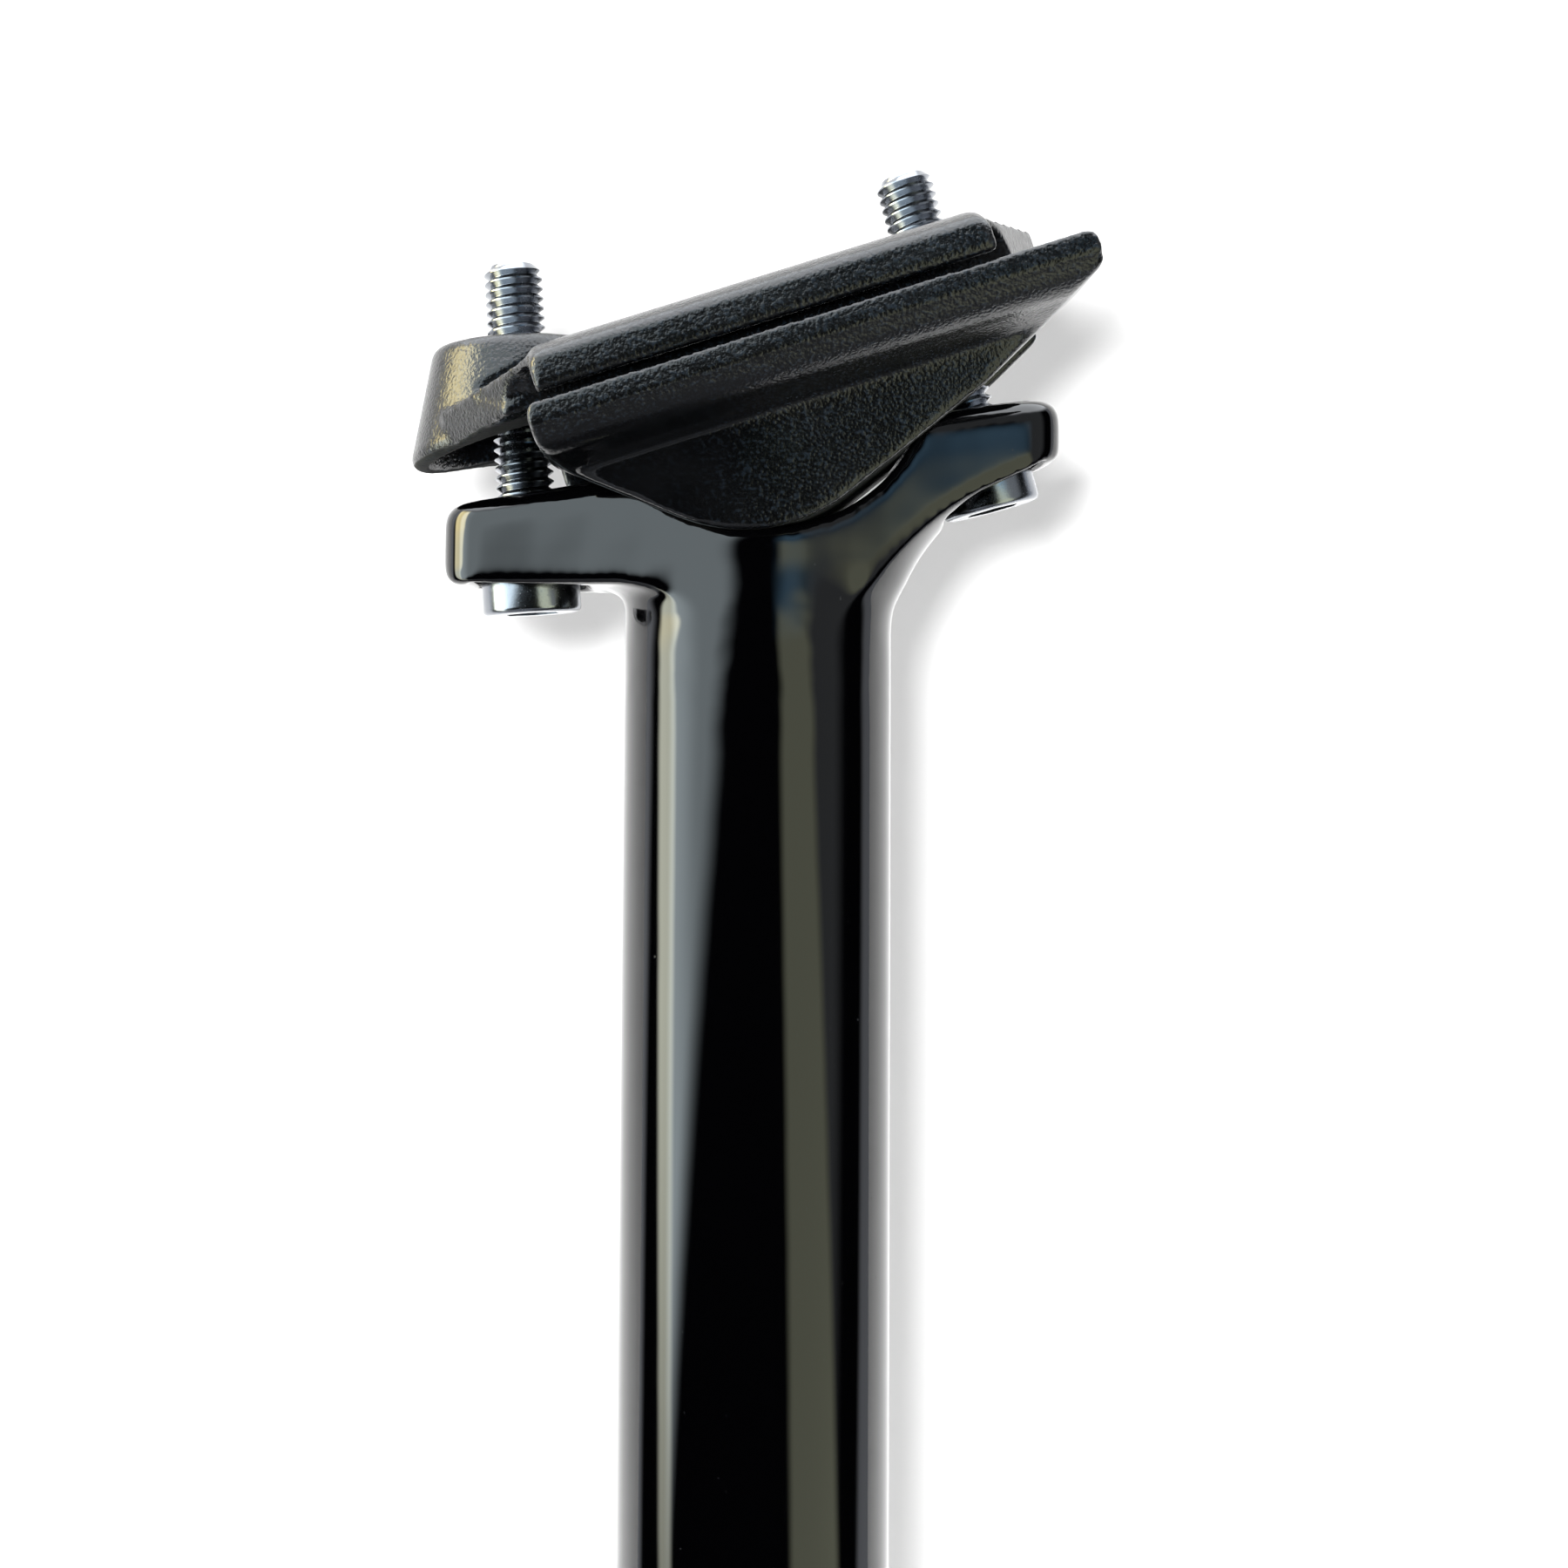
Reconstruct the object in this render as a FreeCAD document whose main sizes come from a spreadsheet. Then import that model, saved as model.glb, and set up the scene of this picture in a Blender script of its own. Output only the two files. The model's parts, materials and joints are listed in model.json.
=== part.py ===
import FreeCAD, Part
import math
import os

import Sketcher

# Bicycle seatpost with a two-bolt rail clamp, in millimetres.
# +Z runs up the tube, +X points to the rear of the bicycle and the origin is the centre of the
# tube's bottom end. Heights called drops are measured down from the centre of the saddle rails.

SIZES = {
    # Tube
    "tube_diameter": 27.2,
    "tube_wall": 2.5,
    "clamp_height": 350.0,
    "crown_wall": 7.0,
    "bore_chamfer": 0.6,
    # Head: two ears that leave a core, a little slimmer than the tube, along hollow flanks
    "head_width": 26.8,
    "ear_root_taper": 20.0,
    "ear_end_taper": 9.0,
    "head_slope": 8.5,
    "front_reach": 31.8,
    "rear_reach": 30.7,
    "front_top_drop": 14.5,
    "rear_top_drop": 2.8,
    "front_under_drop": 22.6,
    "rear_under_drop": 9.1,
    "rear_under_slope": 26.5,
    "front_flare": 3.0,
    "rear_flare": 20.0,
    "ear_corner": 4.6,
    "ear_top_round": 2.0,
    "front_toe_round": 1.9,
    "rear_toe_round": 1.5,
    "seat_radius": 17.0,
    "seat_gap": 0.2,
    # Bolts
    "bolt_diameter": 6.0,
    "bolt_length": 30.0,
    "tip_chamfer": 0.8,
    "head_diameter": 10.0,
    "head_height": 6.0,
    "head_chamfer": 0.5,
    "key_size": 5.0,
    "key_depth": 3.0,
    "front_lean": 4.0,
    "rear_lean": 15.1,
    "front_bolt_place": 24.8,
    "rear_bolt_place": 20.3,
    "front_head_drop": 25.2,
    "rear_head_drop": 14.2,
    "slot_play": 1.2,
    "hole_play": 0.4,
    # Rocking washers
    "washer_size": 9.8,
    "washer_crown": 2.2,
    "washer_curve": 9.0,
    "recess_play": 0.6,
    "washer_gap": 0.15,
    # Barrel nuts
    "nut_radius": 4.5,
    "nut_length": 11.0,
    "nut_sink": 0.3,
    "nut_gap": 0.15,
    "thread_play": 0.15,
    # Saddle rails
    "rail_slope": 18.0,
    "rail_diameter": 7.0,
    "rail_spacing": 44.0,
    "split_gap": 0.8,
    "clamp_width": 54.0,
    # Lower cradle
    "cradle_front": 23.1,
    "cradle_rear": 31.6,
    "wing_band": 2.6,
    "nose_drop": 4.7,
    "nose_round": 3.0,
    "tip_drop": 3.6,
    "tip_round": 1.1,
    "knee_reach": 19.0,
    "knee_drop": 10.0,
    "belly_radius": 16.4,
    "belly_ahead": 2.2,
    "belly_drop": 0.6,
    "cheek_gap": 0.6,
    "cheek_half": 16.5,
    "channel_wall": 1.8,
    "valley_half": 17.6,
    "valley_drop": 6.4,
    "valley_round": 2.5,
    "rocker_front": 15.0,
    "rocker_rear": 13.5,
    "tray_depth": 3.4,
    "tray_wall": 2.5,
    # Upper clamp
    "bar_front": 21.6,
    "bar_rear": 22.5,
    "bar_edge": 3.5,
    "bar_crown": 5.2,
    "bar_end_round": 1.4,
    "bar_round": 0.7,
    "yoke_depth": 4.2,
    "yoke_overlap": 2.0,
    "yoke_shoulder": 8.5,
    "front_shoulder": 32.0,
    "rear_shoulder": 29.5,
    "window_front": 13.0,
    "window_rear": 7.0,
    "window_half": 15.0,
    "boss_radius": 8.5,
    "boss_top_round": 1.4,
    "boss_foot_round": 1.0,
    "front_boss_draft": 14.0,
    "rear_boss_draft": 26.0,
    "boss_wall": 2.0,
    "boss_roof": 6.5,
    "front_boss_rise": 2.4,
    "rear_boss_rise": 13.0,
}


class Size:
    """A value together with the spreadsheet expression that drives it."""

    def __init__(self, value, text):
        self.value = value
        self.text = text

    def __add__(self, other):
        return Size(self.value + value_of(other), f"({self.text} + {text_of(other)})")

    def __radd__(self, other):
        return Size(value_of(other) + self.value, f"({text_of(other)} + {self.text})")

    def __sub__(self, other):
        return Size(self.value - value_of(other), f"({self.text} - {text_of(other)})")

    def __rsub__(self, other):
        return Size(value_of(other) - self.value, f"({text_of(other)} - {self.text})")

    def __mul__(self, other):
        return Size(self.value * value_of(other), f"({self.text} * {text_of(other)})")

    __rmul__ = __mul__

    def __truediv__(self, other):
        return Size(self.value / value_of(other), f"({self.text} / {text_of(other)})")

    def __neg__(self):
        return Size(-self.value, f"(-1 * {self.text})")


def value_of(size):
    return size.value if isinstance(size, Size) else size


def text_of(size):
    return size.text if isinstance(size, Size) else str(size)


def root(size):
    return Size(math.sqrt(size.value), f"sqrt({size.text})")


def sine(angle):
    return Size(math.sin(math.radians(angle.value)), f"sin({angle.text})")


def cosine(angle):
    return Size(math.cos(math.radians(angle.value)), f"cos({angle.text})")


def tangent(angle):
    return Size(math.tan(math.radians(angle.value)), f"tan({angle.text})")


def touch_point(centre, radius, outside, side):
    """Where the line from a point outside a circle touches it, on side +1 or -1."""
    across = outside[0] - centre[0]
    along = outside[1] - centre[1]
    square = across * across + along * along
    near = radius * radius / square
    swing = side * radius * root(square - radius * radius) / square
    return (
        centre[0] + near * across - swing * along,
        centre[1] + near * along + swing * across,
    )


def ease_corners(corners, radii):
    """Replace straight-sided corners, named by index, by arcs of the given radii. Returns the new
    corners, the arcs as bows for draw_outline, and the new index of each old corner."""
    eased = []
    bows = {}
    moved = []
    for index, corner in enumerate(corners):
        moved.append(len(eased))
        if index not in radii:
            eased.append(corner)
            continue
        radius = radii[index]
        before = unit(corner, corners[index - 1])
        after = unit(corner, corners[(index + 1) % len(corners)])
        spread = before[0] * after[0] + before[1] * after[1]
        reach = radius * root((1 + spread) / (1 - spread))
        inwards = radius / root(1 - spread * spread)
        bows[len(eased)] = (
            (
                corner[0] + (before[0] + after[0]) * inwards,
                corner[1] + (before[1] + after[1]) * inwards,
            ),
            radius,
        )
        eased.append((corner[0] + before[0] * reach, corner[1] + before[1] * reach))
        eased.append((corner[0] + after[0] * reach, corner[1] + after[1] * reach))
    return eased, bows, moved


def unit(start, end):
    """The direction from one point to another, one long."""
    across = end[0] - start[0]
    along = end[1] - start[1]
    length = root(across * across + along * along)
    return (across / length, along / length)


doc = FreeCAD.newDocument("seatpost")
sheet = doc.addObject("Spreadsheet::Sheet", "Sizes")
for row, (alias, number) in enumerate(SIZES.items(), start=1):
    sheet.set(f"A{row}", alias)
    sheet.set(f"B{row}", str(number))
    sheet.setAlias(f"B{row}", alias)
doc.recompute()


def size(alias):
    return Size(float(sheet.get(alias)), f"Sizes.{alias}")


def new_body(label):
    body = doc.addObject("PartDesign::Body", label)
    body.Label = label
    return body


def place(body, x, z, turn):
    """Put a body at (x, 0, z), turned about Y, with the driving sizes bound."""
    body.Placement = FreeCAD.Placement(
        FreeCAD.Vector(value_of(x), 0, value_of(z)),
        FreeCAD.Rotation(FreeCAD.Vector(0, 1, 0), value_of(turn)),
    )
    body.setExpression("Placement.Base.x", text_of(x))
    body.setExpression("Placement.Base.z", text_of(z))
    body.setExpression("Placement.Rotation.Angle", text_of(turn))


def new_sketch(body, role, label, height=0.0):
    """A sketch on one of the body's origin planes, lifted along its normal by height."""
    sketch = body.newObject("Sketcher::SketchObject", label)
    plane = [f for f in body.Origin.OriginFeatures if f.Role == role][0]
    sketch.AttachmentSupport = (plane, [""])
    sketch.MapMode = "FlatFace"
    if isinstance(height, Size):
        sketch.AttachmentOffset = FreeCAD.Placement(
            FreeCAD.Vector(0, 0, height.value), FreeCAD.Rotation()
        )
        sketch.setExpression("AttachmentOffset.Base.z", height.text)
    return sketch


def bind(sketch, constraint, driver):
    index = sketch.addConstraint(constraint)
    if isinstance(driver, Size):
        sketch.setExpression(f"Constraints[{index}]", driver.text)


def pin_point(sketch, geometry, end, point):
    """Hold one end of a sketch curve at a point given by two sizes."""
    bind(sketch, Sketcher.Constraint("DistanceX", -1, 1, geometry, end, value_of(point[0])), point[0])
    bind(sketch, Sketcher.Constraint("DistanceY", -1, 1, geometry, end, value_of(point[1])), point[1])


def flat(point):
    return FreeCAD.Vector(value_of(point[0]), value_of(point[1]), 0)


def draw_outline(sketch, corners, bows=None):
    """A closed outline through corners. bows maps a corner's index to (centre, radius): the side
    that leaves this corner is an arc about that centre, on the shorter way round."""
    bows = bows or {}
    count = len(corners)
    for index in range(count):
        start = flat(corners[index])
        end = flat(corners[(index + 1) % count])
        if index not in bows:
            geometry = sketch.addGeometry(Part.LineSegment(start, end), False)
            pin_point(sketch, geometry, 1, corners[index])
            pin_point(sketch, geometry, 2, corners[(index + 1) % count])
            continue
        centre, radius = bows[index]
        middle = flat(centre)
        first = math.atan2(start.y - middle.y, start.x - middle.x)
        last = math.atan2(end.y - middle.y, end.x - middle.x)
        sweep = (last - first) % (2 * math.pi)
        turned = sweep > math.pi
        if turned:
            first, last = last, first
        circle = Part.Circle(middle, FreeCAD.Vector(0, 0, 1), value_of(radius))
        geometry = sketch.addGeometry(Part.ArcOfCircle(circle, first, last), False)
        pin_point(sketch, geometry, 2 if turned else 1, corners[index])
        pin_point(sketch, geometry, 1 if turned else 2, corners[(index + 1) % count])
        bind(sketch, Sketcher.Constraint("Radius", geometry, value_of(radius)), radius)
    return sketch


def draw_circle(sketch, centre, radius):
    circle = Part.Circle(flat(centre), FreeCAD.Vector(0, 0, 1), value_of(radius))
    geometry = sketch.addGeometry(circle, False)
    pin_point(sketch, geometry, 3, centre)
    bind(sketch, Sketcher.Constraint("Radius", geometry, value_of(radius)), radius)
    return sketch


def pad(body, sketch, length, both_ways=False, backwards=False):
    feature = body.newObject("PartDesign::Pad", sketch.Name + "_pad")
    feature.Profile = sketch
    feature.SideType = "Symmetric" if both_ways else "One side"
    feature.Reversed = backwards
    feature.setExpression("Length", text_of(length))
    sketch.Visibility = False
    return feature


def pocket(body, sketch, length, both_ways=False, backwards=False):
    """Cut a sketch through the body, and make sure that the cut takes material away."""
    doc.recompute()
    before = body.Shape.Volume
    feature = body.newObject("PartDesign::Pocket", sketch.Name + "_cut")
    feature.Profile = sketch
    feature.SideType = "Symmetric" if both_ways else "One side"
    feature.Reversed = backwards
    feature.setExpression("Length", text_of(length))
    doc.recompute()
    if not body.Shape.Volume < before:
        raise RuntimeError(f"{feature.Name} cut nothing")
    return feature


def turn(body, kind, sketch, axis):
    """Revolve a sketch about one of its axes, V_Axis or H_Axis, or cut a groove the same way."""
    feature = body.newObject("PartDesign::" + kind, sketch.Name + "_turned")
    feature.Profile = sketch
    feature.ReferenceAxis = (sketch, [axis])
    feature.Angle = 360.0
    return feature


def round_edges(body, label, radius, chosen):
    """Fillet the edges of the body's last shape that the test picks."""
    doc.recompute()
    base = body.Tip
    names = [f"Edge{i}" for i, edge in enumerate(base.Shape.Edges, start=1) if chosen(edge)]
    if not names:
        raise RuntimeError(f"{label} found no edge")
    feature = body.newObject("PartDesign::Fillet", label)
    feature.Base = (base, names)
    feature.Radius = value_of(radius)
    feature.setExpression("Radius", text_of(radius))
    doc.recompute()
    if "Invalid" in feature.State:
        raise RuntimeError(f"{label} failed")
    return feature


NEAR = 0.01
tube_radius = size("tube_diameter") / 2
core_radius = size("head_width") / 2
clamp_height = size("clamp_height")
bolt_radius = size("bolt_diameter") / 2
head_radius = size("head_diameter") / 2
rail_radius = size("rail_diameter") / 2
rail_half = size("rail_spacing") / 2
split_half = size("split_gap") / 2
clamp_half = size("clamp_width") / 2
seat_radius = size("seat_radius")
rail_slope = size("rail_slope")


def bolt_line(place_ahead, lean, drop):
    """The point of a leaning bolt's axis that lies drop below the rails."""
    return (place_ahead + drop * tangent(lean), clamp_height - drop)


def along(start, lean, distance, across=0.0):
    """A point distance up a leaning bolt from start, and across to its rear side."""
    return (
        start[0] - distance * sine(lean) + across * cosine(lean),
        start[1] + distance * cosine(lean) + across * sine(lean),
    )


front_lean = size("front_lean")
rear_lean = size("rear_lean")
front_place = -size("front_bolt_place")
rear_place = size("rear_bolt_place")
front_head = bolt_line(front_place, front_lean, size("front_head_drop"))
rear_head = bolt_line(rear_place, rear_lean, size("rear_head_drop"))
front_nut = bolt_line(front_place, front_lean, -size("front_boss_rise"))
rear_nut = bolt_line(rear_place, rear_lean, -size("rear_boss_rise"))
washer_curve = size("washer_curve")
pivot_height = size("head_height") + size("washer_crown") - washer_curve
BOLTS = {
    "front": (front_lean, front_head, front_nut),
    "rear": (rear_lean, rear_head, rear_nut),
}


def ear_flank(reach, side):
    """Plan corners of one ear, from the core's side at -Y round the rounded end to +Y, and the
    arcs between them, each with its centre and radius. side is -1 for the front ear and +1 for
    the rear one. The hollow flanks leave the core and meet the rounded end without a kink."""
    root_taper = size("ear_root_taper")
    end_taper = size("ear_end_taper")
    corner = size("ear_corner")
    leave_x = core_radius * sine(root_taper)
    leave_y = core_radius * cosine(root_taper)
    centre_x = reach - corner
    touch_x = centre_x + corner * sine(end_taper)
    hollow = (touch_x - leave_x) / (sine(root_taper) - sine(end_taper))
    touch_y = leave_y - hollow * (cosine(end_taper) - cosine(root_taper))
    centre_y = touch_y - corner * cosine(end_taper)
    hollow_x = leave_x + hollow * sine(root_taper)
    hollow_y = leave_y + hollow * cosine(root_taper)
    corners = [
        (side * leave_x, -leave_y),
        (side * touch_x, -touch_y),
        (side * reach, -centre_y),
        (side * reach, centre_y),
        (side * touch_x, touch_y),
        (side * leave_x, leave_y),
    ]
    near_flank = ((side * hollow_x, -hollow_y), hollow)
    near_end = ((side * centre_x, -centre_y), corner)
    far_end = ((side * centre_x, centre_y), corner)
    far_flank = ((side * hollow_x, hollow_y), hollow)
    return corners, [near_flank, near_end, far_end, far_flank]


def make_post():
    body = new_body("post_body")
    front_reach = size("front_reach")
    rear_reach = size("rear_reach")
    front_flare = size("front_flare")
    rear_flare = size("rear_flare")
    slope = tangent(size("head_slope"))
    under = size("rear_under_slope")
    front_under = clamp_height - size("front_under_drop")
    rear_under = clamp_height - size("rear_under_drop")
    front_top = clamp_height - size("front_top_drop")
    rear_top = clamp_height - size("rear_top_drop")
    flare_x = core_radius + rear_flare
    flare_z = rear_under - (rear_reach - flare_x) * tangent(under) - rear_flare / cosine(under)
    rear_touch = (flare_x - rear_flare * sine(under), flare_z + rear_flare * cosine(under))
    front_centre = (-core_radius - front_flare, front_under - front_flare)
    neck = flare_z - front_flare
    middle = Size(0.0, "0")

    side = new_sketch(body, "XZ_Plane", "head_side")
    corners = [
        (-front_reach, front_under),
        (-front_reach, front_top),
        (middle, front_top + front_reach * slope),
        (middle, rear_top - rear_reach * slope),
        (rear_reach, rear_top),
        (rear_reach, rear_under),
        rear_touch,
        (core_radius, flare_z),
        (core_radius, neck),
        (-core_radius, neck),
        (-core_radius, front_under - front_flare),
        (-core_radius - front_flare, front_under),
    ]
    toes = {0: size("front_toe_round"), 5: size("rear_toe_round")}
    eased, bows, moved = ease_corners(corners, toes)
    bows[moved[6]] = ((flare_x, flare_z), rear_flare)
    bows[moved[10]] = (front_centre, front_flare)
    draw_outline(side, eased, bows)
    pad(body, side, size("head_width"), both_ways=True)

    rear_round = new_sketch(body, "XZ_Plane", "rear_flare_round")
    rear_end = rear_touch[1] + rear_flare * tangent(under)
    corners = [
        (core_radius, flare_z),
        rear_touch,
        (rear_touch[0] + rear_flare, rear_end),
        (rear_touch[0] + rear_flare, neck - front_flare),
        (core_radius, neck - front_flare),
    ]
    draw_outline(rear_round, corners, {0: ((flare_x, flare_z), rear_flare)})
    half_groove(body, rear_round)

    front_round = new_sketch(body, "XZ_Plane", "front_flare_round")
    corners = [
        (-core_radius, front_under - front_flare),
        (-core_radius - front_flare, front_under),
        (-front_reach * 2, front_under),
        (-front_reach * 2, neck - front_flare),
        (-core_radius, neck - front_flare),
    ]
    draw_outline(front_round, corners, {0: (front_centre, front_flare)})
    half_groove(body, front_round)

    plan = new_sketch(body, "XY_Plane", "head_plan", clamp_height)
    front, front_arcs = ear_flank(front_reach, -1)
    rear, rear_arcs = ear_flank(rear_reach, 1)
    hub = (middle, middle)
    curved_sides = (0, 1, 3, 4)
    bows = dict(zip(curved_sides, rear_arcs))
    bows.update({len(rear) + side: arc for side, arc in zip(curved_sides, front_arcs[::-1])})
    bows[len(rear) - 1] = (hub, core_radius)
    bows[len(rear) * 2 - 1] = (hub, core_radius)
    draw_outline(plan, rear + front[::-1], bows)
    room = front_reach + rear_reach
    draw_outline(plan, [(-room, -room), (room, -room), (room, room), (-room, room)])
    pocket(body, plan, clamp_height - neck + front_flare)

    seat = new_sketch(body, "XZ_Plane", "rocker_seat")
    draw_circle(seat, (middle, clamp_height), seat_radius + size("seat_gap"))
    pocket(body, seat, clamp_half * 2, both_ways=True)

    def ear_top(edge):
        ends = [vertex.Point for vertex in edge.Vertexes]
        in_seat = all(abs(end.x) < seat_radius.value for end in ends)
        return not in_seat and all(on_ear_top(end) for end in ends)

    def on_ear_top(point):
        front_line = front_top.value + (point.x + front_reach.value) * slope.value
        rear_line = rear_top.value + (point.x - rear_reach.value) * slope.value
        return abs(point.z - (front_line if point.x < 0 else rear_line)) < NEAR

    round_edges(body, "ear_top_rounds", size("ear_top_round"), ear_top)

    tube = new_sketch(body, "XY_Plane", "tube_outside")
    draw_circle(tube, hub, tube_radius)
    pad(body, tube, neck)

    for name, (lean, head, nut) in BOLTS.items():
        cut_recess(body, name, lean, head)
    for name, (lean, head, nut) in BOLTS.items():
        pivot = along(head, lean, pivot_height)
        slot = tilted_sketch(body, name + "_ear_slot", pivot, -lean)
        draw_slot(slot)
        pocket(body, slot, size("bolt_length") * 2, both_ways=True)

    bore = new_sketch(body, "XZ_Plane", "tube_bore")
    bore_radius = tube_radius - size("tube_wall")
    dome = clamp_height - seat_radius - size("crown_wall") - bore_radius
    chamfer = size("bore_chamfer")
    corners = [
        (middle, middle),
        (bore_radius + chamfer, middle),
        (bore_radius, chamfer),
        (bore_radius, dome),
        (middle, dome + bore_radius),
    ]
    draw_outline(bore, corners, {3: ((middle, dome), bore_radius)})
    turn(body, "Groove", bore, "V_Axis")
    return body


def half_groove(body, sketch):
    """Cut a profile away over the half turn that is centred on the sketch plane."""
    doc.recompute()
    before = body.Shape.Volume
    feature = turn(body, "Groove", sketch, "V_Axis")
    feature.Angle = 180.0
    feature.Midplane = True
    doc.recompute()
    if not body.Shape.Volume < before:
        raise RuntimeError(f"{feature.Name} cut nothing")


def tilted_sketch(body, label, point, lean):
    """A sketch square to an axis that leans by the given angle about Y and passes the point."""
    sketch = new_sketch(body, "XY_Plane", label)
    sketch.AttachmentOffset = FreeCAD.Placement(
        FreeCAD.Vector(value_of(point[0]), 0, value_of(point[1])),
        FreeCAD.Rotation(FreeCAD.Vector(0, 1, 0), value_of(lean)),
    )
    sketch.setExpression("AttachmentOffset.Base.x", text_of(point[0]))
    sketch.setExpression("AttachmentOffset.Base.z", text_of(point[1]))
    sketch.setExpression("AttachmentOffset.Rotation.Angle", text_of(lean))
    return sketch


def draw_slot(sketch):
    """A slot along X that lets a bolt lean, round at both ends."""
    half = size("slot_play")
    radius = bolt_radius + size("hole_play")
    zero = Size(0.0, "0")
    corners = [(-half, -radius), (half, -radius), (half, radius), (-half, radius)]
    geometry = []
    for start, end in ((0, 1), (2, 3)):
        line = Part.LineSegment(flat(corners[start]), flat(corners[end]))
        geometry.append(sketch.addGeometry(line, False))
        pin_point(sketch, geometry[-1], 1, corners[start])
        pin_point(sketch, geometry[-1], 2, corners[end])
    for centre, first, start, end in (((half, zero), -math.pi / 2, 1, 2), ((-half, zero), math.pi / 2, 3, 0)):
        circle = Part.Circle(flat(centre), FreeCAD.Vector(0, 0, 1), radius.value)
        arc = sketch.addGeometry(Part.ArcOfCircle(circle, first, first + math.pi), False)
        pin_point(sketch, arc, 1, corners[start])
        pin_point(sketch, arc, 2, corners[end])


def cut_recess(body, name, lean, head):
    """The pocket under an ear that takes the bolt's head, with the washer's hollow seat as roof."""
    half = size("washer_size") / 2 + size("recess_play")
    curve = washer_curve + size("washer_gap")
    rise = root(curve * curve - half * half)
    pivot = along(head, lean, pivot_height)
    sketch = new_sketch(body, "XZ_Plane", name + "_recess")
    corners = [
        along(pivot, lean, rise, -half),
        along(pivot, lean, rise, half),
        along(head, lean, -size("head_height"), half),
        along(head, lean, -size("head_height"), -half),
    ]
    draw_outline(sketch, corners, {0: (pivot, curve)})
    pocket(body, sketch, half * 2, both_ways=True)


def mirror_y(corners):
    return [(-y, z) for y, z in corners]


def make_cradle():
    body = new_body("lower_cradle")
    top = -split_half
    centre = (-size("belly_ahead"), -size("belly_drop"))
    radius = size("belly_radius")
    nose = (-size("cradle_front"), -size("nose_drop"))
    knee = (size("knee_reach"), -size("knee_drop"))
    side = new_sketch(body, "XZ_Plane", "cradle_side")
    corners = [
        (-size("cradle_front"), top),
        nose,
        touch_point(centre, radius, nose, 1),
        touch_point(centre, radius, knee, -1),
        knee,
        (size("cradle_rear"), -size("tip_drop")),
        (size("cradle_rear"), top),
    ]
    tip_round = size("tip_round")
    eased, bows, moved = ease_corners(
        corners, {0: tip_round, 1: size("nose_round"), 5: tip_round, 6: tip_round}
    )
    bows[moved[2]] = (centre, radius)
    draw_outline(side, eased, bows)
    pad(body, side, size("clamp_width"), both_ways=True)
    reach = size("cradle_front") + size("cradle_rear")

    shell = rail_radius + size("channel_wall")
    band = -size("wing_band")
    band_y = rail_half + root(shell * shell - band * band)
    floor = -size("belly_drop") - radius - size("valley_round")
    outer = clamp_half + size("channel_wall")
    flank = [
        (outer, band),
        (band_y, band),
        (rail_half, -shell),
        (size("valley_half"), -size("valley_drop")),
        (size("cheek_half"), floor),
        (outer, floor),
    ]
    flanks = new_sketch(body, "YZ_Plane", "cradle_flanks")
    draw_outline(flanks, flank, {1: ((rail_half, Size(0.0, "0")), shell)})
    draw_outline(flanks, mirror_y(flank), {1: ((-rail_half, Size(0.0, "0")), shell)})
    pocket(body, flanks, reach * 2, both_ways=True)

    cheek = tube_radius + size("cheek_gap")
    front = -size("rocker_front")
    rear = size("rocker_rear")
    zero = Size(0.0, "0")
    rocker = new_sketch(body, "XZ_Plane", "rocker_form")
    keep = [
        (front, top + reach),
        (front, -root(seat_radius * seat_radius - front * front)),
        (rear, -root(seat_radius * seat_radius - rear * rear)),
        (rear, top + reach),
    ]
    draw_outline(rocker, keep, {1: ((zero, zero), seat_radius)})
    draw_outline(
        rocker,
        [(-reach, -reach), (reach, -reach), (reach, reach * 2), (-reach, reach * 2)],
    )
    pocket(body, rocker, cheek * 2, both_ways=True)

    channels = new_sketch(body, "YZ_Plane", "cradle_channels")
    draw_circle(channels, (rail_half, zero), rail_radius)
    draw_circle(channels, (-rail_half, zero), rail_radius)
    pocket(body, channels, reach * 2, both_ways=True)

    wall = size("tray_wall")
    tray = new_sketch(body, "XY_Plane", "cradle_tray", top)
    corners = [
        (front + wall, -cheek + wall),
        (rear - wall, -cheek + wall),
        (rear - wall, cheek - wall),
        (front + wall, cheek - wall),
    ]
    draw_outline(tray, corners)
    pocket(body, tray, size("tray_depth"))
    place(body, Size(0.0, "0"), clamp_height, -rail_slope)
    return body


def to_rails(point):
    """A point of the part, (x, z), in the clamp's own frame along and above the rails."""
    rise = point[1] - clamp_height
    return (
        point[0] * cosine(rail_slope) + rise * sine(rail_slope),
        rise * cosine(rail_slope) - point[0] * sine(rail_slope),
    )


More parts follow.
